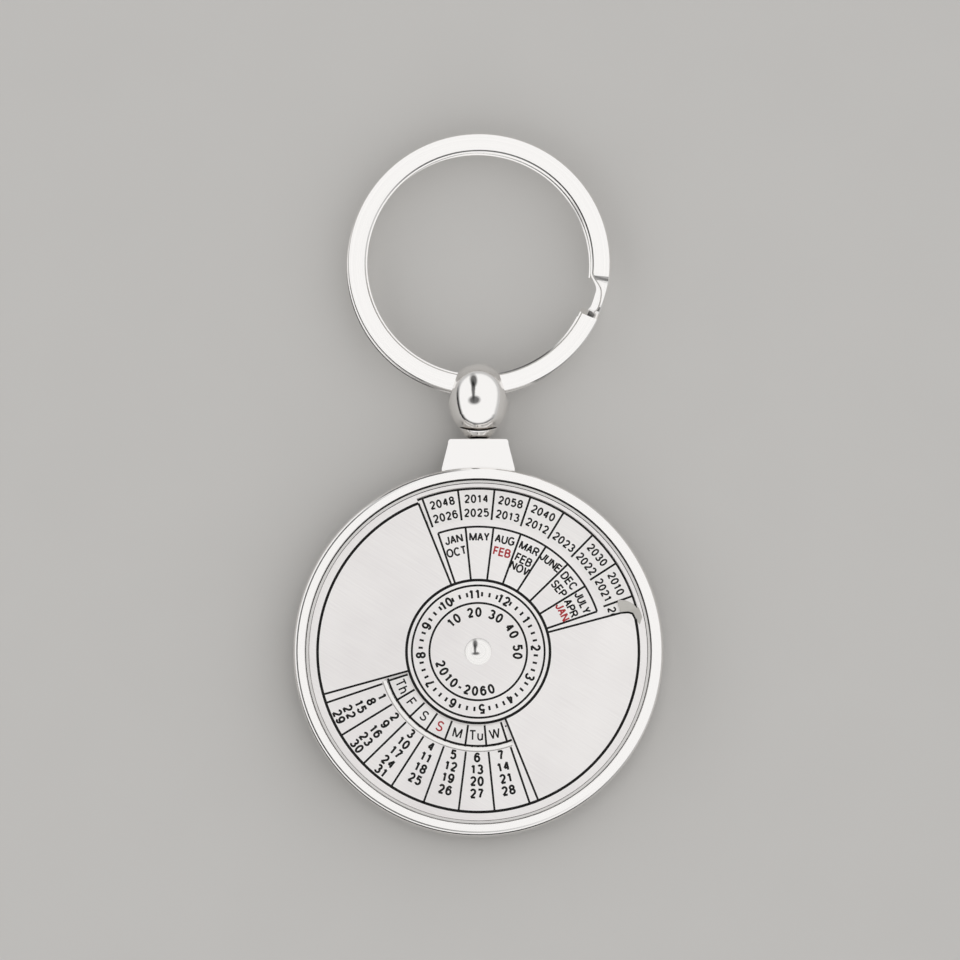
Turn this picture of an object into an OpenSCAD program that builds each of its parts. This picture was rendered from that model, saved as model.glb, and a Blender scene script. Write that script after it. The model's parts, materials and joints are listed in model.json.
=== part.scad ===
// Perpetual calendar keyring: a round case holds a fixed year plate under a
// turning calendar dial, a bead swivels on the case's lug, and a split ring
// runs through the bead's eye.
// The dial faces +Z, the split ring lies towards +Y, and the origin is the
// middle of the case's flat back. Lengths are in millimetres. Clock angles
// run clockwise from +Y as the dial is read.

/* [Case] */
// Outer diameter of the round case
case_d = 42; // [38:0.5:52]
// Thickness of the case's floor under the plates
floor_t = 3; // [2.8:0.1:4]
// How far the rim stands above the dial's face
rim_stand = 0.7; // [0.65:0.05:1.2]
// Width of the rim's top band
rim_w = 1.28; // [0.8:0.02:1.6]
// Width of the sloped band inside the rim
rim_bevel = 0.07; // [0.05:0.01:0.4]
// Rounding of the rim's outer edge
rim_round = 0.5; // [0.1:0.05:0.6]
// Rounding of the back's edge
back_round = 0.8; // [0.2:0.1:1.5]

/* [Lug] */
// Length of the lug beyond the case
lug_l = 3.4; // [2.6:0.1:6]
// Width of the lug at its tip
lug_tip_w = 6.7; // [5:0.1:9]
// Width of the lug where it meets the case
lug_root_w = 8.3; // [7:0.1:12]
// Thickness of the lug
lug_t = 3; // [2.6:0.1:3.6]
// Rounding of the lug's tip, in plan
lug_round = 0.45; // [0.2:0.05:0.8]
// Rounding of the lug's tip edges, in section
lug_edge = 0.15; // [0.1:0.05:0.4]

/* [Plates] */
// Thickness of the adhesive film under the year plate
film_t = 0.1; // [0.05:0.05:0.2]
// Thickness of the fixed year plate
plate_t = 0.4; // [0.3:0.05:0.8]
// Thickness of the spring washer between plate and dial
washer_t = 0.15; // [0.1:0.05:0.3]
// Outer diameter of the spring washer
washer_d = 6; // [4:0.2:9]
// Thickness of the calendar dial
dial_t = 0.4; // [0.3:0.05:0.8]

/* [Dial windows] */
// Clock angle of the middle of the months, as the dial stands
dial_turn = 26.3; // [0:0.1:360]
// Cells in a full turn of the calendar
turn_cells = 28; // [28:7:35]
// Spare angle at each end of a window
window_margin = 3.2; // [1:0.1:5]
// Width of the dial's rim outside the year window
dial_rim_w = 0.75; // [0.4:0.05:1.2]
// Radial width of the year window
year_band = 3.75; // [2.5:0.05:4.5]
// Inner radius of the weekday window
weekday_r = 8.35; // [7:0.05:9.5]
// Radial width of the weekday window
weekday_band = 2.75; // [2:0.05:3.2]
// Radius of the finger tab in the year window's corner
tab_r = 2; // [1.2:0.1:2.4]
// How far the tab's centre lies back from the window's end
tab_set = 0.6; // [0.3:0.05:0.8]
// Upward tilt of the finger tab
tab_tilt = 12; // [4:1:13]

/* [Centre rivet] */
// Diameter of the rivet's shank
rivet_d = 2; // [1.4:0.1:2.6]
// Diameter of the rivet's domed head
rivet_head_d = 3.1; // [2.8:0.1:4.5]
// Height of the rivet's domed head
rivet_head_h = 0.6; // [0.3:0.05:0.6]
// Depth that the shank is pressed into the floor
rivet_depth = 1.8; // [1:0.1:2.2]

/* [Swivel] */
// Diameter of the swivel pin
pin_d = 1.1; // [0.8:0.05:1.3]
// How far the pin's peened head stands out all round
pin_head_lip = 0.45; // [0.25:0.05:0.6]
// Thickness of the pin's peened head
pin_head_t = 0.6; // [0.4:0.05:0.9]
// Length of the pin inside the bead
pin_grip = 2.8; // [1.5:0.1:3]
// Diameter of the cup's edge
cup_d = 4.36; // [3.6:0.02:5.4]
// Height of the cup
cup_h = 1.3; // [1:0.05:1.8]
// Thickness of the cup's floor
cup_floor_t = 0.72; // [0.4:0.02:0.8]
// Largest diameter of the bead
bead_d = 7; // [6.6:0.1:7.4]
// Height of the bead above its widest place
bead_top = 3.55; // [3.5:0.05:4]
// Depth of the bead below its widest place, to its full tip
bead_bottom = 4.6; // [4.4:0.05:5]
// How much of the bead's lower tip is cut off as its seat
bead_seat_cut = 0.2; // [0.15:0.05:0.4]
// Radius of the bead's side arc
bead_side_r = 7; // [6.5:0.1:9]
// Height of the eye's axis above the bead's widest place
eye_up = 1.05; // [0.8:0.05:1.2]

/* [Split ring] */
// Outer diameter of the split ring
ring_d = 30; // [24:0.5:36]
// Width of the flat wire, across the ring's face
wire_w = 2.2; // [1.8:0.1:2.4]
// Thickness of the flat wire, along the ring's axis
wire_t = 1; // [0.8:0.05:1.1]
// Bevel between the wire's face and the ledge along its inner edge
wire_bevel = 0.15; // [0.1:0.01:0.25]
// Width of the ledge along the wire's inner edge
ledge_w = 0.16; // [0.1:0.02:0.3]
// Bevel of the wire's other edges
wire_edge = 0.1; // [0.05:0.01:0.15]
// How far each turn of wire lies to one side of the ring's middle
coil_shift_x = 0.1; // [0:0.02:0.2]
// How far each turn of wire lies towards or away from the case
coil_shift_y = 0.06; // [0:0.02:0.2]
// Clock angle where the wire starts to step down a layer
joggle_at = 95; // [60:1:120]
// Angle over which the wire steps down
joggle_span = 17.5; // [14:0.5:26]
// Angle over which the wire is pinched at the step
pinch_span = 22; // [18:0.5:34]
// How far the pinch draws in the wire's inner edge
pinch_in = 0.98; // [0.4:0.02:1]
// Length of the slope on the upper layer's cut end
end_slope_l = 0.75; // [0.3:0.05:1.2]

/* [Hidden] */
$fn = 96;

// Clearances
press_gap = 0.02;
running_gap = 0.05;
face_gap = 0.03;
thrust_gap = 0.08;
plate_gap = 0.1;
dial_gap = 0.1;
coil_gap = 0.08;
eye_gap = 0.12;
pocket_gap = 0.1;
// Overshoot of a cut beyond the face that it opens
over = 1;
// Straight steps in a rounded edge
edge_steps = 5;

// Case and plates, by height
film_z = floor_t;
plate_z = film_z + film_t;
washer_z = plate_z + plate_t;
dial_z = washer_z + washer_t;
dial_top = dial_z + dial_t;
case_h = dial_top + rim_stand;

// Case and plates, by radius
case_r = case_d / 2;
well_r = case_r - rim_w - rim_bevel;
plate_r = well_r - plate_gap;
dial_r = well_r - dial_gap;
rivet_r = rivet_d / 2;

// Dial windows: each shows one week of cells, and the weekday window is trimmed at both ends
week_cells = 7;
weekday_trim = 1;
cell_angle = 360 / turn_cells;
window_half = week_cells * cell_angle / 2 + window_margin;
year_out_r = dial_r - dial_rim_w;
year_in_r = year_out_r - year_band;
tab_clock = dial_turn + window_half;
tab_in_r = year_out_r - tab_r;
tab_root = 0.3;

// Swivel, along its axis
pin_r = pin_d / 2;
pin_head_r = pin_r + pin_head_lip;
swivel_z = floor_t - pocket_gap - pin_head_r;
lug_tip_y = case_r + lug_l;
pocket_wall_y = well_r - pocket_gap;
pocket_l = 2.4;
pin_head_y = pocket_wall_y - thrust_gap - pin_head_t;
cup_y = lug_tip_y + thrust_gap;
bead_seat_y = cup_y + cup_floor_t;
bead_y = bead_seat_y + bead_bottom - bead_seat_cut;
eye_y = bead_y + eye_up;
cup_edge_w = 0.1;
cup_thrust_r = 0.9;

// Split ring
ring_r = ring_d / 2;
ring_mid_r = ring_r - wire_w / 2;
ring_y = eye_y + ring_mid_r;
layer_z = (wire_t + coil_gap) / 2;
upper_lag = 0.3;
lower_lead = 1.2;
upper_from = joggle_at + joggle_span + upper_lag;
lower_to = joggle_at + lower_lead;
pinch_end = joggle_at + pinch_span;
pinch_steps = 24;
pinch_root = 1;
pinch_inset = 0.01;

// Shares of the pinch over which its dent comes and goes and its ledge widens and narrows,
// the share of the remaining face that the ledge takes there, and the ledge's fall
dent_fade = 0.35;
ledge_rise = 0.6;
ledge_fade = 0.12;
ledge_share = 0.75;
ledge_fall = 0.4;
pinch_ledge = ledge_share * (wire_w - pinch_in - ledge_w - wire_bevel - wire_edge);

// The eye lets the wire turn about the eye's own axis, so it clears the
// wire's bevelled corners and flares as the ring curves away
wire_corner_r = norm([wire_w / 2 + coil_shift_y, coil_gap / 2 + wire_t - wire_edge]);
eye_r = wire_corner_r + eye_gap;
eye_flare_r = ring_mid_r;

function on_clock(r, clock) = [r * sin(clock), r * cos(clock)];

// Eased share from 0 to 1
function eased(share) = let (s = min(max(share, 0), 1)) s * s * (3 - 2 * s);

// Point list of a rounded corner: its centre, radius and the angles it runs between
function arc_points(centre, r, from, to) =
    [for (i = [0 : edge_steps])
        let (a = from + (to - from) * i / edge_steps)
        centre + r * [cos(a), sin(a)]];

// Corner waste that leaves a round of radius r, with the corner at the origin and the part at -X -Y
module round_waste(r) {
    difference() {
        translate([-r, -r]) square([r + over, r + over]);
        translate([-r, -r]) circle(r);
    }
}

// Flat sector between two radii, either side of a clock angle
module sector(r_in, r_out, clock, half) {
    reach = 2 * r_out;
    intersection() {
        difference() {
            circle(r_out);
            circle(r_in);
        }
        polygon(concat([[0, 0]], [for (side = [-1 : 1]) on_clock(reach, clock + side * half)]));
    }
}

// Flat washer or disc with a hole
module disc(r_out, r_in, t) {
    linear_extrude(t) difference() {
        circle(r_out);
        circle(r_in);
    }
}

// Turns a revolved shape so that its axis lies along +Y at the swivel's height
module on_swivel(y) {
    translate([0, y, swivel_z]) rotate([-90, 0, 0]) children();
}

// Half section of the case: flat back, rounded edges, bevelled rim and well
module case_profile() {
    polygon(concat(
        [[0, 0]],
        arc_points([case_r - back_round, back_round], back_round, -90, 0),
        arc_points([case_r - rim_round, case_h - rim_round], rim_round, 0, 90),
        [[well_r + rim_bevel, case_h], [well_r, case_h - rim_bevel], [well_r, film_z], [0, film_z]]));
}

// Plan of the lug: tapered, with a rounded tip, and rooted under the well's wall
module lug_plan() {
    slope = atan((lug_root_w - lug_tip_w) / 2 / lug_l);
    corner = [lug_tip_w / 2 - lug_round * (1 - sin(slope)) / cos(slope), lug_tip_y - lug_round];
    side = arc_points(corner, lug_round, -slope, 90);
    root = [[lug_root_w / 2, case_r], [lug_root_w / 2, well_r]];
    half = concat([for (i = [len(side) - 1 : -1 : 0]) side[i]], root);
    polygon(concat(half, [for (i = [len(half) - 1 : -1 : 0]) [-half[i].x, half[i].y]]));
}

// Section of the lug across its tip, as seen from the side
module lug_section() {
    difference() {
        translate([0, -lug_t / 2]) square([lug_tip_y, lug_t]);
        for (side = [0, 1])
            mirror([0, side]) translate([lug_tip_y, lug_t / 2]) round_waste(lug_edge);
    }
}

module lug() {
    intersection() {
        linear_extrude(case_h) lug_plan();
        translate([-lug_root_w, 0, swivel_z]) rotate([90, 0, 90])
            linear_extrude(2 * lug_root_w) lug_section();
    }
}

// One casting: rim, floor, well and lug, with the pin's bore and the pocket for its peened head
module case_body() {
    pocket_r = pin_head_r + pocket_gap;
    color("gainsboro")
        difference() {
            union() {
                rotate_extrude() case_profile();
                difference() {
                    lug();
                    cylinder(r = well_r, h = 3 * case_h, center = true);
                }
            }
            translate([0, 0, floor_t - rivet_depth])
                cylinder(r = rivet_r + press_gap, h = rivet_depth + over);
            on_swivel(pocket_wall_y - over) cylinder(r = pin_r + running_gap, h = lug_tip_y);
            on_swivel(pocket_wall_y - pocket_l) cylinder(r = pocket_r, h = pocket_l);
            translate([-pocket_r, pocket_wall_y - pocket_l, swivel_z])
                cube([2 * pocket_r, pocket_l, case_h]);
        }
}

// Adhesive film that holds the year plate to the floor and keeps it from turning
module plate_film() {
    color("whitesmoke") translate([0, 0, film_z]) disc(plate_r - 2 * plate_gap, washer_d / 2, film_t);
}

// Fixed plate that carries the years and the weekdays
module year_plate() {
    color("lightgray") translate([0, 0, plate_z]) disc(plate_r, rivet_r + press_gap, plate_t);
}

// Springy washer that holds the dial up against the rivet's head, so that the dial stays where it is turned
module spring_washer() {
    color("darkgray") translate([0, 0, washer_z]) disc(washer_d / 2, rivet_r + press_gap, washer_t);
}

// Rounded tab at the outer corner of the year window's end, bent up for a fingertip to push
module finger_tab() {
    corner = on_clock(tab_in_r, tab_clock);
    translate([corner.x, corner.y, dial_z]) rotate([0, 0, -tab_clock]) rotate([0, tab_tilt, 0])
        linear_extrude(dial_t) intersection() {
            translate([tab_set, 0]) circle(tab_r);
            translate([-tab_r, 0]) square([tab_r + tab_root, tab_r]);
        }
}

// Turning dial with the year window by its rim and the weekday window by its hub
module calendar_dial() {
    color("silver") {
        translate([0, 0, dial_z]) linear_extrude(dial_t) difference() {
            circle(dial_r);
            circle(rivet_r + running_gap);
            sector(year_in_r, year_out_r, dial_turn, window_half);
            sector(weekday_r, weekday_r + weekday_band, dial_turn + 180, window_half - weekday_trim);
        }
        finger_tab();
    }
}

// Rivet with a domed head, pressed into the floor
module centre_rivet() {
    head_r = rivet_head_d / 2;
    dome_r = (head_r * head_r + rivet_head_h * rivet_head_h) / (2 * rivet_head_h);
    head_z = dial_top + face_gap;
    color("gainsboro") {
        translate([0, 0, floor_t - rivet_depth]) cylinder(r = rivet_r, h = head_z - floor_t + rivet_depth);
        translate([0, 0, head_z]) rotate_extrude() intersection() {
            translate([0, rivet_head_h - dome_r]) circle(dome_r);
            square([head_r, rivet_head_h]);
        }
    }
}

// Pin that is fixed in the bead, runs in the lug's bore and is peened over inside the case
module swivel_pin() {
    color("darkgray") {
        on_swivel(pin_head_y) cylinder(r = pin_head_r, h = pin_head_t);
        on_swivel(pin_head_y) cylinder(r = pin_r, h = bead_seat_y + pin_grip - pin_head_y);
    }
}

// Shallow bowl between the lug and the bead, dished to the bead's tip and scooped at front and back so
// that two horns stand
module swivel_cup() {
    edge_r = cup_d / 2;
    bore_r = pin_r + press_gap;
    bowl_up = (edge_r * edge_r + cup_h * cup_h - cup_thrust_r * cup_thrust_r) / (2 * cup_h);
    bowl_r = norm([cup_thrust_r, bowl_up]);
    bowl = arc_points([0, bowl_up], bowl_r, -acos(cup_thrust_r / bowl_r), -acos(edge_r / bowl_r));
    tip_up = bead_end_r(bead_bottom) - bead_seat_cut;
    dish_r = bead_end_r(bead_bottom) + face_gap;
    dish = arc_points([0, cup_floor_t + tip_up], dish_r, -acos((edge_r - cup_edge_w) / dish_r),
                      -asin(tip_up / dish_r));
    scoop_y = cup_floor_t + face_gap;
    scoop_depth = cup_h - scoop_y;
    scoop_r = (edge_r * edge_r + scoop_depth * scoop_depth) / (2 * scoop_depth);
    color("gainsboro") difference() {
        on_swivel(cup_y) rotate_extrude()
            polygon(concat([[bore_r, 0]], bowl, dish, [[bore_r, cup_floor_t]]));
        translate([0, cup_y + scoop_y + scoop_r, swivel_z])
            cylinder(r = scoop_r, h = 2 * cup_d, center = true);
    }
}

// Radius of the end arc that runs smoothly into the bead's side arc
function bead_end_r(reach) =
    let (back = bead_side_r - bead_d / 2)
    (bead_side_r * bead_side_r - reach * reach - back * back) / (2 * (bead_side_r - reach));

// Height at which the end arc meets the side arc
function bead_join(reach) =
    (reach - bead_end_r(reach)) * bead_side_r / (bead_side_r - bead_end_r(reach));

// Half outline of the oval bead, with its seat cut flat
module bead_profile() {
    top_r = bead_end_r(bead_top);
    tip_r = bead_end_r(bead_bottom);
    seat_depth = bead_bottom - bead_seat_cut;
    low = min(bead_join(bead_bottom), seat_depth);
    intersection() {
        union() {
            intersection() {
                translate([bead_d / 2 - bead_side_r, 0]) circle(bead_side_r);
                translate([0, -low]) square([bead_d, low + bead_join(bead_top)]);
            }
            translate([0, bead_top - top_r]) circle(top_r);
            translate([0, tip_r - bead_bottom]) circle(tip_r);
        }
        translate([0, -seat_depth]) square([bead_d, seat_depth + bead_top]);
    }
}

// Oval bead with a flared eye for the ring's wire
module swivel_bead() {
    color("gainsboro") difference() {
        on_swivel(bead_y) rotate_extrude() bead_profile();
        translate([0, eye_y, swivel_z]) rotate([0, 90, 0]) rotate_extrude() difference() {
            translate([0, -bead_d]) square([eye_r + eye_flare_r, 2 * bead_d]);
            translate([eye_r + eye_flare_r, 0]) circle(eye_flare_r);
        }
        on_swivel(bead_seat_y - over) cylinder(r = pin_r + press_gap, h = pin_grip + over);
    }
}

// Section of the flat wire, across the face and along the ring's axis, drawn in all round by an
// inset; at a pinch its inner edge is moved out by a dent and the ledge there widens
function wire_section(inset = 0, dent = 0, widen = 0) =
    let (w = wire_w / 2 - inset, t = wire_t / 2 - inset, e = wire_edge)
    let (inner = dent - w, ledge = ledge_w + widen, ledge_z = t - wire_bevel)
    [[w, e - t], [w, t - e], [w - e, t], [inner + ledge + wire_bevel, t], [inner + ledge, ledge_z],
     [inner, ledge_z - ledge * ledge_fall], [inner, e - t], [inner + e, -t], [w - e, -t]];

// Place of a layer's middle: level 1 is the upper layer and level -1 the lower one
function on_level(level) = level * [coil_shift_x, coil_shift_y, layer_z];

// One flat layer of wire between two clock angles
module wire_layer(from, to) {
    rotate([0, 0, 90 - to])
        rotate_extrude(angle = to - from) translate([ring_mid_r, 0]) polygon(wire_section());
}

// Waste above the slope on the cut end of the upper layer
module end_waste() {
    rotate([0, 0, -upper_from]) translate([0, ring_mid_r, -wire_t / 2])
        rotate([0, -atan(wire_t / end_slope_l), 0])
            translate([-over, -wire_w, 0])
                cube([wire_t + end_slope_l + 2 * over, 2 * wire_w, end_slope_l + over]);
}

// Level of the wire at a clock angle: upper layer before the step, lower layer after it
function joggle_level(clock) = 1 - 2 * eased((clock - joggle_at) / joggle_span);

// Section of the wire at a clock angle within the pinch
function pinched_section(clock) =
    let (along = (clock - joggle_at) / pinch_span)
    let (dent = eased(along / dent_fade) * eased((1 - along) / dent_fade))
    let (widen = eased(along / ledge_rise) * eased((1 - along) / ledge_fade))
    wire_section(pinch_inset, pinch_in * dent, pinch_ledge * widen);

// The short pinched stretch where the wire steps from the upper layer to the lower one,
// with its ends let into the two layers
module wire_joggle() {
    sides = len(wire_section());
    points = [
        for (i = [0 : pinch_steps])
            let (clock = joggle_at - pinch_root + (pinch_span + 2 * pinch_root) * i / pinch_steps)
            for (p = pinched_section(clock))
                let (flat = on_clock(ring_mid_r + p.x, clock))
                [flat.x, flat.y, p.y] + on_level(joggle_level(clock))];
    first = [for (k = [0 : sides - 1]) k];
    last = [for (k = [sides - 1 : -1 : 0]) pinch_steps * sides + k];
    skin = [
        for (i = [0 : pinch_steps - 1])
            for (k = [0 : sides - 1])
                let (a = i * sides + k, b = i * sides + (k + 1) % sides)
                each [[a, a + sides, b], [b, a + sides, b + sides]]];
    polyhedron(points, concat([first, last], skin));
}

// Flat wire wound twice round, with one step between its two layers
module split_ring() {
    color("gainsboro") translate([0, ring_y, swivel_z]) {
        translate(on_level(1)) difference() {
            wire_layer(upper_from, joggle_at + 360);
            end_waste();
        }
        wire_joggle();
        translate(on_level(-1)) wire_layer(pinch_end, lower_to + 360);
    }
}

case_body();
plate_film();
year_plate();
spring_washer();
calendar_dial();
centre_rivet();
swivel_pin();
swivel_cup();
swivel_bead();
split_ring();
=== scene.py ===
"""Looks of a perpetual calendar keyring: plated metal, brushed plates and calendar print."""

import calendar
import json
import math

import bmesh
import bpy
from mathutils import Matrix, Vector

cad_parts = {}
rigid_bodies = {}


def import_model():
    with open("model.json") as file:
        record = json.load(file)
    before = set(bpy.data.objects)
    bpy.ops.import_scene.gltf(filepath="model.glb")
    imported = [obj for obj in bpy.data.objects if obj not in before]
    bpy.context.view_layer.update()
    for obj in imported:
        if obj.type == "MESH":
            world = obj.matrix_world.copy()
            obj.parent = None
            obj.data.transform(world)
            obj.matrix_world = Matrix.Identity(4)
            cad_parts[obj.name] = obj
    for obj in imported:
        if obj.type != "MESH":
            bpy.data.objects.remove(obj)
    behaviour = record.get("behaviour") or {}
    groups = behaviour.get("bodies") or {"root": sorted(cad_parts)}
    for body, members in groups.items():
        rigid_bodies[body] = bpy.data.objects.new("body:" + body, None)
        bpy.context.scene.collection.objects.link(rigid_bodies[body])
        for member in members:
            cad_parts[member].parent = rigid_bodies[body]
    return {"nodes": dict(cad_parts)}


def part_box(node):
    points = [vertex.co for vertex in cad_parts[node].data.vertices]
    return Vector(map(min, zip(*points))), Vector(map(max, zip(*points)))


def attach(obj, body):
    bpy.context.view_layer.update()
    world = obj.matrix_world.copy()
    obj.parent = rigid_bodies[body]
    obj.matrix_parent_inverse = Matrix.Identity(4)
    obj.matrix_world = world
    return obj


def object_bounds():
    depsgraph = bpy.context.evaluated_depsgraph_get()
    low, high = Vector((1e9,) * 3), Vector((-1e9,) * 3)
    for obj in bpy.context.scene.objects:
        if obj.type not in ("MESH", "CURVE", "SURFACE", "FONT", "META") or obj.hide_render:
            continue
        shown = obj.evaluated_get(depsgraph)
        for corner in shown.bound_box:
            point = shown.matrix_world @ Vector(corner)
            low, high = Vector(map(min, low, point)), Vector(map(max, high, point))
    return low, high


bl_info = {
    "name": "Perpetual Calendar Keyring",
    "version": (1, 0, 0),
    "blender": (4, 5, 0),
    "location": "3D View > Sidebar > Keyring",
    "description": "Finishes, calendar print and stage of a perpetual calendar keyring",
    "category": "Object",
}

for leftover in list(bpy.data.objects):
    bpy.data.objects.remove(leftover)
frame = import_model()
CAD_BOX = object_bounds()

MM = 0.001

# Heights that the print lies on, and the middle of the ring, from the frame. The dial's own box
# takes in its lifted tab, so its face is found from its back and its thickness.
PLATE_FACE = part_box("year_plate")[1].z
DIAL_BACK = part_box("spring_washer")[1].z
DIAL_THICKNESS = 0.4 * MM
DIAL_FACE = DIAL_BACK + DIAL_THICKNESS
RING_LOW, RING_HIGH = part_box("split_ring")
RING_CENTRE = (RING_LOW + RING_HIGH) / 2

# Calendar layout in clock angles: 28 cells make a full turn, and seven show in each window.
# The dial lies turned at rest, its sectors reach half an angle to each side of their middle,
# and the plate's cells slip a little from the middle of each window.
TURN_CELLS = 28
WEEK = 7
CELL = 360 / TURN_CELLS
DIAL_TURN = 26.3
SECTOR_HALF = 48.2
TAB_CLOCK = DIAL_TURN + SECTOR_HALF
YEAR_SLIP = -1.3
WEEKDAY_SLIP = 0.9
MARCH = 3

# Radii of the print, in millimetres from the dial's middle
YEAR_LINES = (15.15, 18.65)
YEAR_ROWS = (17.5, 15.9)
WEEKDAY_LINES = (8.4, 10.7)
WEEKDAY_ROW = 9.5
MONTH_LINES = (8.15, 14.25)
MONTH_ROWS = (13.1, 11.65, 10.58)
DATE_LINES = (11.46, 18.3)
DATE_ROWS = (12.05, 13.4, 14.75, 16.15, 17.45)
BLANK_LINES = (8.15, 18.25)
HUB_RINGS = (8.15, 7.54, 5.54)
HUB_ROWS = (6.54, 4.5)
HUB_TICKS = (6.3, 6.8)
# Plain numbers on the hub: twelve with three ticks after each, and an inner row of five
HUB_HOURS = 12
HUB_PARTS = 4
HUB_NUMBERS = (10, 20, 30, 40, 50)
HUB_NUMBER_STEP = 32
# Border beside the finger tab: clock angles from the window's end, and radii
TAB_BORDER = ((0.3, 16.83), (0.8, 17.6), (1.6, 18.05), (3.8, 18.23))

# Half the floor's width and its gap below the keyring, in metres
FLOOR_HALF = 3.0
FLOOR_GAP = 0.02 * MM
# Width of the camera's sensor, in millimetres, and the range that it sees, in metres
SENSOR_WIDTH = 36
CLIP = (0.01, 20)
# Side of the room that is dark at the horizon, how it fades round to the pale side, the light
# of both, and the degrees of height over which the open sky takes their place
DARK_SIDE = (-0.5, -0.87, 0.0)
SIDE_FADE = (-0.2, 0.6)
HORIZON_DARK = 0.04
HORIZON_PALE = 0.6
HORIZON_BAND = (6, 18)
# Dark stand overhead that the chrome mirrors, as ovals in the sky: the middle of each as
# a direction, and its reach. An oval keeps its tone out to the core's share of its reach,
# and then fades.
DARK_STAND = (
    ((-0.24, -0.16, 0.95), (0.46, 0.17, 1.0)),
    ((-0.31, 0.3, 0.88), (0.15, 0.6, 1.0)),
    ((-0.26, 0.72, 0.64), (0.25, 0.5, 0.7)),
)
STAND_TONE = 0.16
STAND_CORE = 0.55

# Punched edges of the dial, in millimetres: its rolled rim, and the raised lip of the weekday
# window, which spans a clock angle to each side of its middle
RIM_EDGE = (19.2, 19.53)
RIM_ROLL = 0.08
WEEKDAY_EDGE = (10.84, 11.42)
WEEKDAY_HALF = 46.2
LIP_RISE = 0.12
LIP_SLOPES = (0.08, 0.18)

# Finger tab at the end of the year window, in millimetres and degrees, as the dial's sheet is cut
# and bent, and the steps of its curve
TAB_FOOT = 16.8
TAB_RADIUS = 2.0
TAB_SET = 0.6
TAB_TILT = 12
TAB_STEPS = 14
# Patch of painted shade that trails from the tab along the rim: clock angles from the
# window's end, and radii
TAB_TRAIL = (
    (0.0, 16.85), (0.35, 16.85), (0.8, 17.6), (1.6, 18.05), (3.8, 18.25),
    (6.0, 18.6), (3.6, 19.05), (1.7, 19.0), (0.0, 18.9),
)
# Height of the painted-shade patches over the tab's face and over the dial, in millimetres
TAB_SHADE_HEIGHT = 0.006

# Upper and lower year of the seven cells that show at rest; an empty place is None
SHOWN_YEARS = (
    (2048, 2026),
    (2014, 2025),
    (2058, 2013),
    (2040, 2012),
    (None, 2023),
    (2030, 2022),
    (2010, 2021),
)
# Names after this mark are red: months for leap years, and Sunday
RED_MARK = "*"
# Months of each cell from the rim inwards
MONTH_CELLS = (
    ("JAN", "OCT"),
    ("MAY",),
    ("AUG", "*FEB"),
    ("MAR", "FEB", "NOV"),
    ("JUNE",),
    ("DEC", "SEP"),
    ("JULY", "APR", "*JAN"),
)
WEEKDAYS = ("Th", "F", "S", "*S", "M", "Tu", "W")
LAST_DATE = 31

# Tones of single pieces: the painted shade in the corners of the case, and of the bead and its cup,
# the darkest brush line of each plate, and the lightest steel of the washer and the pin
CASE_CORNER_SHADE = "#3A3734"
BEAD_CORNER_SHADE = "#B2AEAA"
DIAL_BRUSH = "#F1EDEC"
PLATE_BRUSH = "#EFECEA"
WASHER_STEEL = "#B8B6B3"
PIN_STEEL = "#C4C2BF"
# Thin ink is lighter than full ink by a factor and a step
THIN_INK = (1.4, 0.004)
# The floor's mottle is darker than its colour by a factor
FLOOR_MOTTLE = 0.97


def linear(code):
    """Turn an sRGB hex colour into the linear RGBA that a socket takes."""
    shares = [int(code[place:place + 2], 16) / 255 for place in (1, 3, 5)]
    rgb = [s / 12.92 if s <= 0.04045 else ((s + 0.055) / 1.055) ** 2.4 for s in shares]
    return (*rgb, 1.0)


class CalendarPrint(bpy.types.PropertyGroup):
    """Sizes and colours of the calendar print"""

    first_year: bpy.props.IntProperty(
        name="First year", description="First year on the year plate", default=2010)
    last_year: bpy.props.IntProperty(
        name="Last year", description="Last year on the year plate", default=2060)
    year_height: bpy.props.FloatProperty(
        name="Year height", description="Height of the years",
        default=1.0 * MM, unit="LENGTH")
    month_height: bpy.props.FloatProperty(
        name="Month height", description="Height of the month names",
        default=1.02 * MM, unit="LENGTH")
    date_height: bpy.props.FloatProperty(
        name="Date height", description="Height of the dates",
        default=1.14 * MM, unit="LENGTH")
    weekday_height: bpy.props.FloatProperty(
        name="Weekday height", description="Height of the weekday letters",
        default=1.2 * MM, unit="LENGTH")
    hub_height: bpy.props.FloatProperty(
        name="Hub height", description="Height of the numbers on the hub",
        default=1.15 * MM, unit="LENGTH")
    stroke: bpy.props.FloatProperty(
        name="Stroke", description="Thickness of a stroke in a year or a month",
        default=0.19 * MM, unit="LENGTH")
    thin_stroke: bpy.props.FloatProperty(
        name="Thin stroke", description="Thickness of a weekday letter's stroke",
        default=0.175 * MM, unit="LENGTH")
    bold_stroke: bpy.props.FloatProperty(
        name="Bold stroke", description="Thickness of a stroke in a date or on the hub",
        default=0.24 * MM, unit="LENGTH")
    line: bpy.props.FloatProperty(
        name="Line", description="Thickness of the lines between cells, sectors and hub rows",
        default=0.23 * MM, unit="LENGTH")
    border: bpy.props.FloatProperty(
        name="Border", description="Thickness of the lines round the hub and along the rim",
        default=0.31 * MM, unit="LENGTH")
    ink_height: bpy.props.FloatProperty(
        name="Ink height", description="How far the ink stands above the metal",
        default=0.012 * MM, unit="LENGTH")
    black: bpy.props.FloatVectorProperty(
        name="Black", description="Colour of the black ink",
        default=linear("#0D0B0A"), size=4, subtype="COLOR")
    red: bpy.props.FloatVectorProperty(
        name="Red", description="Colour of the red ink for leap years and Sundays",
        default=linear("#A02A30"), size=4, subtype="COLOR")


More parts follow.
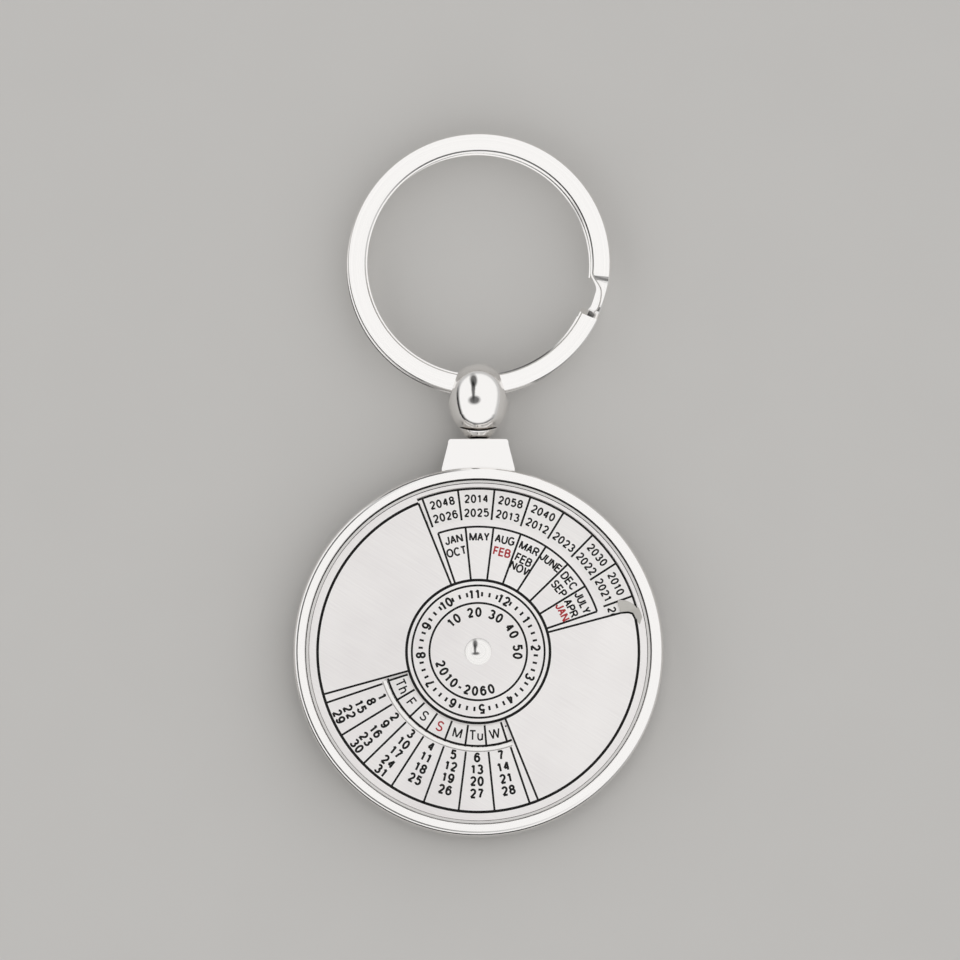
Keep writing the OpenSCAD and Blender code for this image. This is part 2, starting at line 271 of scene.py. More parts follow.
class MetalFinish(bpy.types.PropertyGroup):
    """Colours and surface sizes of the metal pieces"""

    chrome: bpy.props.FloatVectorProperty(
        name="Chrome", description="Colour of the chrome plating and of burnished edges",
        default=linear("#F5F3F1"), size=4, subtype="COLOR")
    nickel: bpy.props.FloatVectorProperty(
        name="Nickel", description="Colour of the split ring's plating and of the rivet",
        default=linear("#FAF8F6"), size=4, subtype="COLOR")
    sheet: bpy.props.FloatVectorProperty(
        name="Sheet", description="Colour of the brushed sheet of both plates",
        default=linear("#FFFCFA"), size=4, subtype="COLOR")
    brush_angle: bpy.props.FloatProperty(
        name="Brush angle", description="Direction of the brush lines, from the +X axis",
        default=math.radians(-32), subtype="ANGLE")
    brush_width: bpy.props.FloatProperty(
        name="Brush width", description="Width of one brush line",
        default=0.16 * MM, unit="LENGTH")
    brush_length: bpy.props.FloatProperty(
        name="Brush length", description="Length of one brush line",
        default=5 * MM, unit="LENGTH")


class StageSetting(bpy.types.PropertyGroup):
    """Floor, light and camera"""

    floor: bpy.props.FloatVectorProperty(
        name="Floor", description="Colour of the floor",
        default=linear("#CBC9C6"), size=4, subtype="COLOR")
    elevation: bpy.props.FloatProperty(
        name="Elevation", description="Height of the camera above the horizon",
        default=math.radians(84), subtype="ANGLE")
    distance: bpy.props.FloatProperty(
        name="Distance", description="Distance of the camera from the keyring",
        default=0.9, unit="LENGTH")
    field: bpy.props.FloatProperty(
        name="Field", description="Width of what the camera sees at the keyring",
        default=109.4 * MM, unit="LENGTH")
    aim: bpy.props.FloatVectorProperty(
        name="Aim", description="Point at the middle of the picture",
        default=(0.2 * MM, 19.7 * MM, 3 * MM), size=3, subtype="TRANSLATION")


def feed(tree, node, feeds):
    """Set or link each input of a node that feeds names."""
    for place, value in feeds.items():
        if isinstance(value, bpy.types.NodeSocket):
            tree.links.new(value, node.inputs[place])
        else:
            node.inputs[place].default_value = value


def add(tree, kind, feeds, **settings):
    """Add a node with its settings and its feeds."""
    node = tree.nodes.new(kind)
    for name, value in settings.items():
        setattr(node, name, value)
    feed(tree, node, feeds)
    return node


def cloud(tree, place, size, detail):
    """Noise in patches of a size, in millimetres."""
    return add(tree, "ShaderNodeTexNoise", {
        "Vector": place, "Scale": 1 / (size * MM), "Detail": detail}).outputs["Fac"]


def rings(tree, centred, width):
    """Noise in rings of a width, in millimetres, round the origin of a vector."""
    radius = add(tree, "ShaderNodeVectorMath", {0: centred}, operation="LENGTH")
    lines = add(tree, "ShaderNodeTexNoise", {
        "W": radius.outputs["Value"], "Scale": 1 / (width * MM), "Detail": 2.0},
        noise_dimensions="1D")
    return lines.outputs["Fac"]


def blend(tree, share, first, second):
    """Colour between two colours."""
    return add(tree, "ShaderNodeMix", {0: share, 6: first, 7: second}, data_type="RGBA").outputs[2]


def spread(tree, share, low, high):
    """Value from low to high, by a share from 0 to 1."""
    return add(tree, "ShaderNodeMapRange", {
        "Value": share, "To Min": low, "To Max": high}).outputs["Result"]


def share_of(tree, value, low, high):
    """Share from 0 to 1 that a value has gone from low to high."""
    return add(tree, "ShaderNodeMapRange", {
        "Value": value, "From Min": low, "From Max": high}).outputs["Result"]


def relief(tree, height, strength, depth):
    """Normal of a surface with bumps of a depth, in millimetres."""
    return add(tree, "ShaderNodeBump", {
        "Height": height, "Strength": strength, "Distance": depth * MM}).outputs["Normal"]


def new_material(name):
    """Make a material, with its tree, its shader and the coordinates of the piece."""
    material = bpy.data.materials.new(name)
    material.use_nodes = True
    tree = material.node_tree
    tree.nodes.clear()
    shader = add(tree, "ShaderNodeBsdfPrincipled", {})
    add(tree, "ShaderNodeOutputMaterial", {"Surface": shader.outputs["BSDF"]})
    place = add(tree, "ShaderNodeTexCoord", {}).outputs["Object"]
    return material, tree, shader, place


def dress(node, material):
    """Give a node of the frame a finished material."""
    for slot in frame["nodes"][node].material_slots:
        slot.material = material


def chrome_plating(name, finish, corner_shade):
    """Material of a chromed piece, with the tone of the painted shade in its corners."""
    # Cast zinc or turned brass, buffed and chrome plated: a near-white mirror whose buffing leaves
    # a slow waviness and a thin haze. In corners and gaps, found by ambient occlusion, its colour
    # turns to a darker tone: painted shade.
    material, tree, shader, place = new_material(name)
    haze = cloud(tree, place, 2.5, 4.0)
    wave = cloud(tree, place, 4.0, 1.0)
    # Painted shade: ambient occlusion darkens the colour towards the corner tone
    corner = add(tree, "ShaderNodeAmbientOcclusion", {"Distance": 0.6 * MM}, samples=8)
    unshaded = share_of(tree, corner.outputs["AO"], 0.15, 0.6)
    feed(tree, shader, {
        "Metallic": 1.0,
        "Base Color": blend(tree, unshaded, corner_shade, finish.chrome),
        "Roughness": spread(tree, haze, 0.05, 0.1),
        "Normal": relief(tree, wave, 0.5, 0.01),
    })
    return material


def nickel_plated_wire(finish):
    """Material of the split ring."""
    # Drawn flat spring wire, nickel plated: warm near-white, with draw lines that follow
    # the wire round. Real draw lines are finer than a pixel, so they are drawn 0.2 mm wide.
    material, tree, shader, place = new_material("nickel_plated_wire")
    centred = add(tree, "ShaderNodeVectorMath", {0: place, 1: RING_CENTRE}, operation="SUBTRACT")
    lines = rings(tree, centred.outputs["Vector"], 0.2)
    patch = cloud(tree, place, 3.0, 3.0)
    feed(tree, shader, {
        "Metallic": 1.0,
        "Base Color": blend(tree, lines, linear("#F4F2F0"), finish.nickel),
        "Roughness": spread(tree, patch, 0.07, 0.14),
        "Normal": relief(tree, lines, 0.15, 0.004),
    })
    return material


def brushed_nickel_sheet(name, finish, dark):
    """Material of a flat plate, with the colour of its darkest brush line."""
    # Steel sheet, nickel plated and brushed one way before it is printed: a soft grey sheen
    # broken by straight hairlines. Real ones are finer than a pixel, so they are drawn wider.
    material, tree, shader, place = new_material(name)
    turned = add(tree, "ShaderNodeVectorRotate", {
        "Vector": place, "Angle": -finish.brush_angle}, rotation_type="Z_AXIS")
    drawn = add(tree, "ShaderNodeVectorMath", {
        0: turned.outputs["Vector"],
        1: (1 / finish.brush_length, 1 / finish.brush_width, 0.0)}, operation="MULTIPLY")
    lines = add(tree, "ShaderNodeTexNoise", {
        "Vector": drawn.outputs["Vector"], "Scale": 1.0, "Detail": 3.0}).outputs["Fac"]
    stain = cloud(tree, place, 9.0, 2.0)
    depth = add(tree, "ShaderNodeMath", {0: lines, 1: 0.75, 2: stain}, operation="MULTIPLY_ADD")
    share = share_of(tree, depth.outputs["Value"], 0.55, 1.2)
    feed(tree, shader, {
        "Metallic": 1.0,
        "Base Color": blend(tree, share, dark, finish.sheet),
        "Roughness": spread(tree, lines, 0.26, 0.4),
        "Normal": relief(tree, lines, 0.25, 0.006),
    })
    return material


def turned_nickel_silver(finish):
    """Material of the centre rivet."""
    # Nickel silver rivet, its dome turned on a lathe: fine rings that draw the light out
    # into bright cones across the head.
    material, tree, shader, place = new_material("turned_nickel_silver")
    flat = add(tree, "ShaderNodeVectorMath", {0: place, 1: (1.0, 1.0, 0.0)}, operation="MULTIPLY")
    grooves = rings(tree, flat.outputs["Vector"], 0.15)
    tangent = add(tree, "ShaderNodeTangent", {}, direction_type="RADIAL", axis="Z")
    feed(tree, shader, {
        "Metallic": 1.0,
        "Base Color": blend(tree, grooves, linear("#E6E4E1"), finish.nickel),
        "Roughness": 0.12,
        "Anisotropic": 0.5,
        "Tangent": tangent.outputs["Tangent"],
    })
    return material


def spring_steel(name, tone):
    """Material of the washer or the pin, with its lightest tone."""
    # Bare rolled steel: grey, half dull, with a faint oily mottle.
    material, tree, shader, place = new_material(name)
    mottle = cloud(tree, place, 0.8, 4.0)
    feed(tree, shader, {
        "Metallic": 1.0,
        "Base Color": blend(tree, mottle, linear("#9C9A97"), tone),
        "Roughness": spread(tree, mottle, 0.22, 0.38),
    })
    return material


def acrylic_adhesive():
    """Material of the film under the year plate."""
    # Double-sided acrylic film: milky, soft and slightly uneven where it was rolled down.
    material, tree, shader, place = new_material("acrylic_adhesive")
    rolled = cloud(tree, place, 3.0, 3.0)
    feed(tree, shader, {
        "Base Color": blend(tree, rolled, linear("#DAD6CC"), linear("#ECE9E1")),
        "Roughness": 0.4,
        "IOR": 1.47,
    })
    return material


def baked_ink(name, colour):
    """Material of one colour of print."""
    # Screen-printed and baked enamel ink: dense and half dull, thinner in places.
    material, tree, shader, place = new_material(name)
    cover = cloud(tree, place, 0.6, 3.0)
    factor, step = THIN_INK
    thin = [min(1.0, share * factor + step) for share in colour[:3]]
    feed(tree, shader, {
        "Base Color": blend(tree, cover, colour, (*thin, 1.0)),
        "Roughness": 0.5,
        "Specular IOR Level": 0.2,
    })
    return material


def burnished_edge(finish):
    """Material of the dial's punched edges."""
    # Sheet metal rubbed smooth by the punch: a narrow bright line, whiter than the brushed face,
    # with painted shade at its foot, where the colour turns grey below the top of the lip.
    material, tree, shader, place = new_material("burnished_nickel_edge")
    rub = cloud(tree, place, 1.2, 3.0)
    unshaded = blend(tree, rub, linear("#E9E7E4"), finish.chrome)
    # Painted shade: the colour turns grey towards the foot of each edge
    height = add(tree, "ShaderNodeSeparateXYZ", {"Vector": place}).outputs["Z"]
    above = share_of(tree, height, DIAL_FACE, DIAL_FACE + LIP_RISE * MM)
    feed(tree, shader, {
        "Metallic": 1.0,
        "Base Color": blend(tree, above, linear("#6E6A67"), unshaded),
        "Roughness": 0.15,
    })
    return material


def rubbed_nickel():
    """Material of the finger tab's face."""
    # Nickel of the bent tab: dull, with a fine cloudy mottle, and greyer than the sheet as painted
    # shade on the tab and along the rim.
    material, tree, shader, place = new_material("rubbed_nickel")
    mottle = cloud(tree, place, 0.7, 4.0)
    feed(tree, shader, {
        "Metallic": 1.0,
        "Base Color": blend(tree, mottle, linear("#BDBAB4"), linear("#CDCAC5")),
        "Roughness": spread(tree, mottle, 0.36, 0.48),
    })
    return material


def matt_painted_board(colour):
    """Material of the floor."""
    # Matt painted board: even, with a faint mottle that keeps it from looking like a screen.
    material, tree, shader, place = new_material("matt_painted_board")
    mottle = cloud(tree, place, 12.0, 2.0)
    shade = [share * FLOOR_MOTTLE for share in colour[:3]]
    feed(tree, shader, {
        "Base Color": blend(tree, mottle, (*shade, 1.0), colour),
        "Roughness": 0.9,
    })
    return material


# Degrees between the points of a letter's bow
BOW_STEP = 20


def bow(x, y, half_width, half_height, start, end):
    """Points of an oval arc, from one angle to another, in a letter's unit box."""
    steps = max(3, round(abs(end - start) / BOW_STEP))
    angles = [math.radians(start + (end - start) * step / steps) for step in range(steps + 1)]
    return [(x + half_width * math.cos(a), y + half_height * math.sin(a)) for a in angles]


# Each letter is its width, in cap heights, and its strokes in a unit box
LETTERS = {
    "0": (0.64, [bow(0.5, 0.5, 0.5, 0.5, 90, 450)]),
    "1": (0.52, [[(0.1, 0.74), (0.64, 1)], [(0.64, 1), (0.64, 0)]]),
    "2": (0.64, [bow(0.5, 0.71, 0.48, 0.29, 165, -38) + [(0, 0)], [(0, 0), (1, 0)]]),
    "3": (0.64, [bow(0.48, 0.76, 0.44, 0.24, 155, -90), bow(0.48, 0.26, 0.52, 0.26, 90, -155)]),
    "4": (0.66, [[(0.74, 0), (0.74, 1)], [(0.74, 1), (0, 0.3)], [(0, 0.3), (1, 0.3)]]),
    "5": (0.64, [[(0.92, 1), (0.16, 1), (0.06, 0.52)], bow(0.48, 0.33, 0.52, 0.33, 142, -150)]),
    "6": (0.64, [bow(0.5, 0.32, 0.5, 0.32, 90, 450), bow(0.54, 0.5, 0.54, 0.5, 40, 190)]),
    "7": (0.64, [[(0, 1), (1, 1)], [(1, 1), (0.56, 0.45), (0.36, 0)]]),
    "8": (0.64, [bow(0.5, 0.76, 0.44, 0.24, 90, 450), bow(0.5, 0.26, 0.5, 0.26, 90, 450)]),
    "9": (0.64, [bow(0.5, 0.68, 0.5, 0.32, 90, 450), bow(0.46, 0.5, 0.54, 0.5, 220, 370)]),
    "-": (0.48, [[(0, 0.42), (1, 0.42)]]),
    "A": (0.7, [[(0, 0), (0.5, 1)], [(0.5, 1), (1, 0)], [(0.18, 0.34), (0.82, 0.34)]]),
    "B": (0.68, [
        [(0, 0), (0, 1)], [(0, 1), (0.5, 1)] + bow(0.55, 0.77, 0.37, 0.23, 90, -90) + [(0, 0.54)],
        [(0, 0.54), (0.5, 0.54)] + bow(0.56, 0.27, 0.44, 0.27, 90, -90) + [(0, 0)]]),
    "C": (0.75, [bow(0.52, 0.5, 0.52, 0.5, 42, 318)]),
    "D": (0.73, [
        [(0, 0), (0, 1)], [(0, 1), (0.4, 1)] + bow(0.45, 0.5, 0.55, 0.5, 90, -90) + [(0, 0)]]),
    "E": (0.64, [[(1, 1), (0, 1), (0, 0), (1, 0)], [(0, 0.53), (0.92, 0.53)]]),
    "F": (0.59, [[(1, 1), (0, 1), (0, 0)], [(0, 0.5), (0.88, 0.5)]]),
    "G": (0.79, [bow(0.5, 0.5, 0.5, 0.5, 45, 325), [(0.56, 0.46), (0.96, 0.46), (0.96, 0.08)]]),
    "J": (0.55, [[(1, 1), (1, 0.35)] + bow(0.5, 0.3, 0.5, 0.3, 0, -180)]),
    "L": (0.57, [[(0, 1), (0, 0), (1, 0)]]),
    "M": (0.86, [[(0, 0), (0, 1)], [(0, 1), (0.5, 0)], [(0.5, 0), (1, 1)], [(1, 1), (1, 0)]]),
    "N": (0.73, [[(0, 0), (0, 1)], [(0, 1), (1, 0)], [(1, 0), (1, 1)]]),
    "O": (0.81, [bow(0.5, 0.5, 0.5, 0.5, 90, 450)]),
    "P": (0.66, [
        [(0, 0), (0, 1)], [(0, 1), (0.5, 1)] + bow(0.6, 0.74, 0.4, 0.26, 90, -90) + [(0, 0.48)]]),
    "R": (0.7, [
        [(0, 0), (0, 1)], [(0, 1), (0.5, 1)] + bow(0.58, 0.75, 0.4, 0.25, 90, -90) + [(0, 0.5)],
        [(0.55, 0.5), (1, 0)]]),
    "S": (0.68, [bow(0.5, 0.75, 0.45, 0.25, 25, 270) + bow(0.5, 0.25, 0.5, 0.25, 90, -155)[1:]]),
    "T": (0.68, [[(0, 1), (1, 1)], [(0.5, 1), (0.5, 0)]]),
    "U": (0.7, [[(0, 1), (0, 0.4)] + bow(0.5, 0.34, 0.5, 0.34, 180, 360) + [(1, 1)]]),
    "V": (0.66, [[(0, 1), (0.5, 0)], [(0.5, 0), (1, 1)]]),
    "W": (1.06, [
        [(0, 1), (0.25, 0)], [(0.25, 0), (0.5, 1)], [(0.5, 1), (0.75, 0)], [(0.75, 0), (1, 1)]]),
    "Y": (0.66, [[(0, 1), (0.5, 0.44)], [(1, 1), (0.5, 0.44)], [(0.5, 0.5), (0.5, 0)]]),
    "h": (0.55, [[(0, 1), (0, 0)], [(0, 0.36)] + bow(0.5, 0.42, 0.5, 0.3, 170, 0) + [(1, 0)]]),
    "u": (0.55, [[(0, 0.72), (0, 0.34)] + bow(0.5, 0.3, 0.5, 0.3, 180, 350), [(1, 0.72), (1, 0)]]),
}
# Gaps between letters, in cap heights: of most, of months, and of those that follow a circle
LETTER_GAP = 0.1
MONTH_GAP = 0.03
BENT_GAP = 0.17
# Degrees between the points of an arc
ARC_STEP = 1.5
# Least cosine of half a corner's turn that a mitre is drawn for; sharper ones are cut short
SHARPEST_JOIN = 0.6
# A stroke whose ends lie within this many widths is closed
CLOSED_WITHIN = 0.1
# Strokes that cross lie at slightly different heights, so that no two faces share a plane
LIFT = 0.0003 * MM
LIFTS = 23


def on_clock(radius, clock):
    """Point at a radius and a clock angle, clockwise from +Y."""
    angle = math.radians(clock)
    return Vector((radius * math.sin(angle), radius * math.cos(angle)))


def as_piece(mesh, name, material, body):
    """Turn a gathered mesh into a piece that rides on a body."""
    bmesh.ops.recalc_face_normals(mesh, faces=mesh.faces)
    data = bpy.data.meshes.new(name)
    mesh.to_mesh(data)
    mesh.free()
    data.materials.append(material)
    piece = bpy.data.objects.new(name, data)
    bpy.context.scene.collection.objects.link(piece)
    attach(piece, body)


class InkLayer:
    """Flat strokes of one colour on one plate, gathered into a single mesh."""

    def __init__(self, face, style):
        self.low = face
        self.high = face + style.ink_height
        self.strokes = 0
        self.mesh = bmesh.new()

    def stroke(self, points, width):
        """Lay a flat ribbon of ink along points; it closes where they end as they began."""
        self.strokes += 1
        top = self.high + LIFT * (self.strokes % LIFTS)
        closed = (points[0] - points[-1]).length < CLOSED_WITHIN * width
        if closed:
            points = points[:-1]
        count = len(points)
        rails = []
        for place, here in enumerate(points):
            first = place == 0 and not closed
            before = 2 * here - points[1] if first else points[place - 1]
            last = place == count - 1 and not closed
            after = 2 * here - points[-2] if last else points[(place + 1) % count]
            come = (here - before).normalized()
            go = (after - here).normalized()
            along = (come + go).normalized()
            reach = width / 2 / max(along.dot(go), SHARPEST_JOIN)
            side = Vector((-along.y, along.x)) * reach
            corners = ((here + side, self.low), (here - side, self.low),
                       (here - side, top), (here + side, top))
            rails.append([self.mesh.verts.new((*flat, height)) for flat, height in corners])
        for place in range(count if closed else count - 1):
            near, far = rails[place], rails[(place + 1) % count]
            for edge in range(4):
                nxt = (edge + 1) % 4
                self.mesh.faces.new((near[edge], near[nxt], far[nxt], far[edge]))
        if not closed:
            self.mesh.faces.new(rails[0])
            self.mesh.faces.new(rails[-1])

    def spoke(self, clock, inner, outer, width):
        """Radial line between two radii, in millimetres."""
        self.stroke([on_clock(inner * MM, clock), on_clock(outer * MM, clock)], width)

    def arc(self, radius, start, end, width):
        """Line along a radius, in millimetres, between two clock angles."""
        steps = max(2, round((end - start) / ARC_STEP))
        clocks = [start + (end - start) * step / steps for step in range(steps + 1)]
        self.stroke([on_clock(radius * MM, clock) for clock in clocks], width)

    def label(self, text, radius, clock, cap, pen, outward=True, bent=False, gap_share=LETTER_GAP):
        """Letters centred at a radius, in millimetres, with their tops outward or inward."""
        facing = 1 if outward else -1
        gap = gap_share * cap
        widths = [LETTERS[letter][0] * cap for letter in text]
        left = -(sum(widths) + gap * (len(text) - 1)) / 2
        for letter, width in zip(text, widths):
            middle = left + width / 2
            turn = clock + facing * math.degrees(middle / (radius * MM)) if bent else clock
            shift = 0 if bent else middle
            up = on_clock(1, turn) * facing
            right = Vector((up.y, -up.x))
            centre = on_clock(radius * MM, turn) + right * shift
            for points in LETTERS[letter][1]:
                self.stroke([
                    centre + right * (x - 0.5) * (width - pen) + up * (y - 0.5) * (cap - pen)
                    for x, y in points], pen)
            left += width + gap


def years_by_cell(style):
    """Upper and lower year of every cell: hidden years share a column if they start March alike."""
    taken = {year for shown in SHOWN_YEARS for year in shown}
    cells = []
    for column, shown in enumerate(SHOWN_YEARS):
        years = [
            year for year in range(style.first_year, style.last_year + 1)
            if WEEK - 1 - calendar.weekday(year, MARCH, 1) == column and year not in taken]
        pairs = [shown]
        for group in range(TURN_CELLS // WEEK - 1):
            pair = years[2 * group:2 * group + 2]
            pairs.append((*pair, None, None)[:2])
        cells.append(pairs)
    return [cells[cell % WEEK][cell // WEEK] for cell in range(TURN_CELLS)]


def inks(style):
    """The two ink materials, made once."""
    made = {}
    for name, colour in (("black_enamel_ink", style.black), ("red_enamel_ink", style.red)):
        made[name] = bpy.data.materials.get(name) or baked_ink(name, colour)
    return made["black_enamel_ink"], made["red_enamel_ink"]


class KEYRING_OT_case(bpy.types.Operator):
    """Chrome the cast case with its rim and lug"""

    bl_idname = "keyring.case"
    bl_label = "Case"

    def execute(self, context):
        finish = context.scene.metal_finish
        # The case's corners and gaps get painted shade
        dress("case_body", chrome_plating("chrome_plated_zinc", finish, linear(CASE_CORNER_SHADE)))
        return {"FINISHED"}


class KEYRING_OT_plates(bpy.types.Operator):
    """Brush the year plate and the dial, and finish what holds them"""

    bl_idname = "keyring.plates"
    bl_label = "Plates"

    def execute(self, context):
        finish = context.scene.metal_finish
        dial = brushed_nickel_sheet("brushed_nickel_dial", finish, linear(DIAL_BRUSH))
        dress("calendar_dial", dial)
        plate = brushed_nickel_sheet("brushed_nickel_plate", finish, linear(PLATE_BRUSH))
        dress("year_plate", plate)
        dress("plate_film", acrylic_adhesive())
        dress("spring_washer", spring_steel("rolled_spring_steel", linear(WASHER_STEEL)))
        dress("centre_rivet", turned_nickel_silver(finish))
        return {"FINISHED"}


class KEYRING_OT_swivel(bpy.types.Operator):
    """Chrome the bead and its cup, and finish their pin"""

    bl_idname = "keyring.swivel"
    bl_label = "Swivel"

    def execute(self, context):
        finish = context.scene.metal_finish
        # The corners of the bead and its cup get a lighter painted shade
        chrome = chrome_plating("chrome_plated_brass", finish, linear(BEAD_CORNER_SHADE))
        dress("swivel_cup", chrome)
        dress("swivel_bead", chrome)
        dress("swivel_pin", spring_steel("turned_steel", linear(PIN_STEEL)))
        return {"FINISHED"}


class KEYRING_OT_ring(bpy.types.Operator):
    """Nickel plate the split ring"""

    bl_idname = "keyring.ring"
    bl_label = "Split ring"

    def execute(self, context):
        dress("split_ring", nickel_plated_wire(context.scene.metal_finish))
        return {"FINISHED"}


class KEYRING_OT_year_print(bpy.types.Operator):
    """Print the years and weekdays on the fixed plate"""

    bl_idname = "keyring.year_print"
    bl_label = "Year plate print"

    def execute(self, context):
        style = context.scene.calendar_print
        black = InkLayer(PLATE_FACE, style)
        red = InkLayer(PLATE_FACE, style)
        black.arc(YEAR_LINES[1], 0, 360, style.line)
        black.arc(WEEKDAY_LINES[1], 0, 360, style.line)
        for cell, pair in enumerate(years_by_cell(style)):
            years = DIAL_TURN + YEAR_SLIP + (cell - WEEK // 2) * CELL
            days = DIAL_TURN + 180 + WEEKDAY_SLIP - (cell - WEEK // 2) * CELL
            black.spoke(years - CELL / 2, *YEAR_LINES, style.line)
            black.spoke(days - CELL / 2, *WEEKDAY_LINES, style.line)
            for year, radius in zip(pair, YEAR_ROWS):
                if year:
                    black.label(str(year), radius, years, style.year_height, style.stroke)
            day = WEEKDAYS[cell % WEEK]
            ink = red if RED_MARK in day else black
            ink.label(
                day.strip(RED_MARK), WEEKDAY_ROW, days, style.weekday_height, style.thin_stroke,
                outward=False)
        black_ink, red_ink = inks(style)
        as_piece(black.mesh, "year_print_black", black_ink, "case")
        as_piece(red.mesh, "year_print_red", red_ink, "case")
        return {"FINISHED"}


class KEYRING_OT_dial_print(bpy.types.Operator):
    """Print the months, the dates, the borders and the hub on the dial"""

    bl_idname = "keyring.dial_print"
    bl_label = "Dial print"

    def months(self, style, black, red):
        """Month cells above the hub."""
        edge = WEEK * CELL / 2
        black.arc(MONTH_LINES[1], DIAL_TURN - edge, DIAL_TURN + edge, style.line)
        for cell in range(WEEK + 1):
            black.spoke(DIAL_TURN - edge + cell * CELL, *MONTH_LINES, style.line)
        for cell, names in enumerate(MONTH_CELLS):
            clock = DIAL_TURN + (cell - WEEK // 2) * CELL
            for month, radius in zip(names, MONTH_ROWS):
                ink = red if RED_MARK in month else black
                ink.label(
                    month.strip(RED_MARK), radius, clock, style.month_height, style.stroke,
                    gap_share=MONTH_GAP)

    def dates(self, style, black):
        """Date cells below the hub."""
        for cell in range(WEEK + 1):
            black.spoke(DIAL_TURN + 180 + (cell - WEEK / 2) * CELL, *DATE_LINES, style.line)
        for date in range(1, LAST_DATE + 1):
            row, column = divmod(date - 1, WEEK)
            clock = DIAL_TURN + 180 - (column - WEEK // 2) * CELL
            black.label(
                str(date), DATE_ROWS[row], clock, style.date_height, style.bold_stroke,
                outward=False)

    def borders(self, style, black):
        """Lines round the two blank sectors, with a corner cut by the finger tab."""
        inner, outer = BLANK_LINES
        far = TAB_CLOCK - 2 * SECTOR_HALF
        for clock in (TAB_CLOCK + 180, far, far + 180):
            black.spoke(clock, inner, outer, style.line)
        corner = [on_clock(radius * MM, TAB_CLOCK + after) for after, radius in TAB_BORDER]
        black.stroke([on_clock(inner * MM, TAB_CLOCK), *corner], style.line)
        black.arc(outer, TAB_CLOCK + TAB_BORDER[-1][0], far + 360, style.border)

    def hub(self, style, black):
        """Rings of the hub, with plain numbers and a scale between them."""
        for radius, width in zip(HUB_RINGS, (style.border, style.line, style.line)):
            black.arc(radius, 0, 360, width)
        cap, pen = style.hub_height, style.bold_stroke
        hour_step = 360 / HUB_HOURS
        for hour in range(HUB_HOURS):
            clock = DIAL_TURN + hour_step * hour
            black.label(str(hour or HUB_HOURS), HUB_ROWS[0], clock, cap, pen)
            for part in range(1, HUB_PARTS):
                black.spoke(clock + hour_step * part / HUB_PARTS, *HUB_TICKS, pen)
        for step, number in enumerate(HUB_NUMBERS):
            clock = DIAL_TURN + (step - len(HUB_NUMBERS) // 2) * HUB_NUMBER_STEP
            black.label(str(number), HUB_ROWS[1], clock, cap, pen, bent=True, gap_share=BENT_GAP)
        span = f"{style.first_year}-{style.last_year}"
        black.label(
            span, HUB_ROWS[1], DIAL_TURN + 180, cap, pen,
            outward=False, bent=True, gap_share=BENT_GAP)

    def execute(self, context):
        style = context.scene.calendar_print
        black = InkLayer(DIAL_FACE, style)
        red = InkLayer(DIAL_FACE, style)
        self.months(style, black, red)
        self.dates(style, black)
        self.borders(style, black)
        self.hub(style, black)
        black_ink, red_ink = inks(style)
        as_piece(black.mesh, "dial_print_black", black_ink, "dial")
        as_piece(red.mesh, "dial_print_red", red_ink, "dial")
        return {"FINISHED"}


class KEYRING_OT_dial_edges(bpy.types.Operator):
    """Add the dial's rolled rim and the raised lip of its weekday window"""

    bl_idname = "keyring.dial_edges"
    bl_label = "Dial edges"

    def sweep(self, mesh, section, start, end):
        """Sweep a closed section of radii and heights between two clock angles."""
        whole = end - start >= 360
        steps = round((end - start) / ARC_STEP)
        loops = []
        for step in range(steps if whole else steps + 1):
            clock = start + (end - start) * step / steps
            loops.append([
                mesh.verts.new((*on_clock(radius * MM, clock), height))
                for radius, height in section])
        for place in range(steps):
            near, far = loops[place], loops[(place + 1) % len(loops)]
            for corner in range(len(section)):
                nxt = (corner + 1) % len(section)
                mesh.faces.new((near[corner], near[nxt], far[nxt], far[corner]))
        if not whole:
            mesh.faces.new(loops[0])
            mesh.faces.new(loops[-1])

    def execute(self, context):
        mesh = bmesh.new()
        inner, outer = RIM_EDGE
        rolled = DIAL_FACE + RIM_ROLL * MM
        rim = (
            (inner, DIAL_FACE), (inner + RIM_ROLL, rolled), (outer, rolled), (outer, DIAL_FACE))
        self.sweep(mesh, rim, 0, 360)
        inner, outer = WEEKDAY_EDGE
        raised = DIAL_FACE + LIP_RISE * MM
        lip = (
            (inner, DIAL_BACK), (inner, DIAL_FACE), (inner + LIP_SLOPES[0], raised),
            (outer - LIP_SLOPES[1], raised), (outer, DIAL_FACE), (outer, DIAL_BACK))
        middle = DIAL_TURN + 180
        self.sweep(mesh, lip, middle - WEEKDAY_HALF, middle + WEEKDAY_HALF)
        as_piece(mesh, "dial_edges", burnished_edge(context.scene.metal_finish), "dial")
        return {"FINISHED"}


